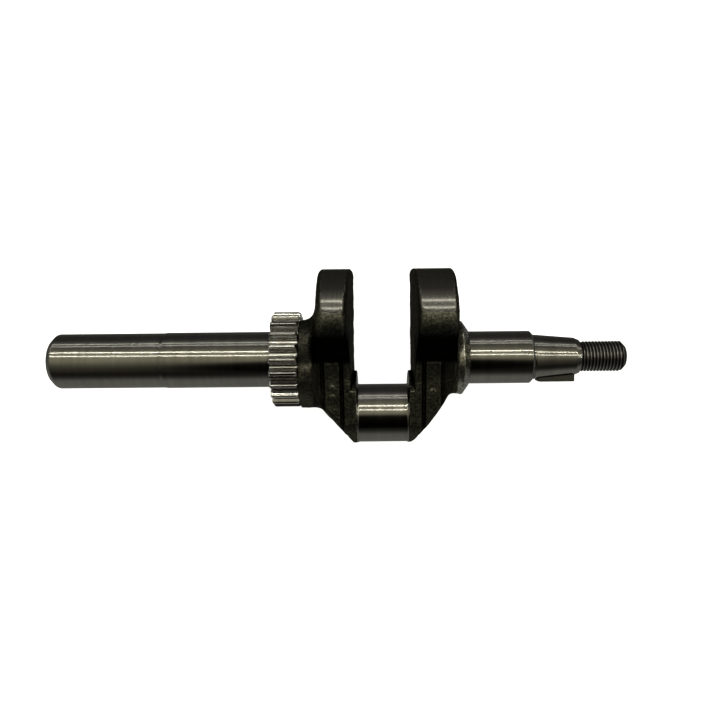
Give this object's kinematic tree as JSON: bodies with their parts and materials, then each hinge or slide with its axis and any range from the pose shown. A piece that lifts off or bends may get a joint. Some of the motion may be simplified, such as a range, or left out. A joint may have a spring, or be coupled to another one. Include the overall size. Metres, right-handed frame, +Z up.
{
  "type": "crankshaft",
  "caption": "Forged crankshaft of a small single-cylinder engine, with a straight drive shaft, spur timing gear, counterweighted webs, crankpin, keyed taper and threaded end.",
  "frame": {"origin": "on the main axis, at the shoulder where the flywheel journal begins", "axes": "+X along the main axis toward the threaded flywheel end, -Y toward the crankpin, +Y toward the counterweights, +Z up with the crankshaft lying on its side"},
  "size_m": [0.2618, 0.0797, 0.0736],
  "materials": {
    "ground_steel": "ground and oiled, fine rings round the axis",
    "gear_steel": "machined, bright",
    "forged_steel": "as forged, dark scale, rough",
    "turned_steel": "rough turned over forging skin",
    "thread_steel": "rolled thread, darkened",
    "key_steel": "plain steel"
  },
  "bodies": {
    "root": {"pto_drive_end": "ground_steel", "pto_journal": "ground_steel", "timing_gear": "gear_steel", "gear_collar": "forged_steel", "pto_web": "forged_steel", "pto_counterweight": "forged_steel", "crankpin": "ground_steel", "flywheel_web": "forged_steel", "flywheel_counterweight": "forged_steel", "thrust_collar": "turned_steel", "flywheel_journal": "ground_steel", "flywheel_taper": "ground_steel", "threaded_end": "thread_steel", "flywheel_key": "key_steel"}
  },
  "joints": []
}
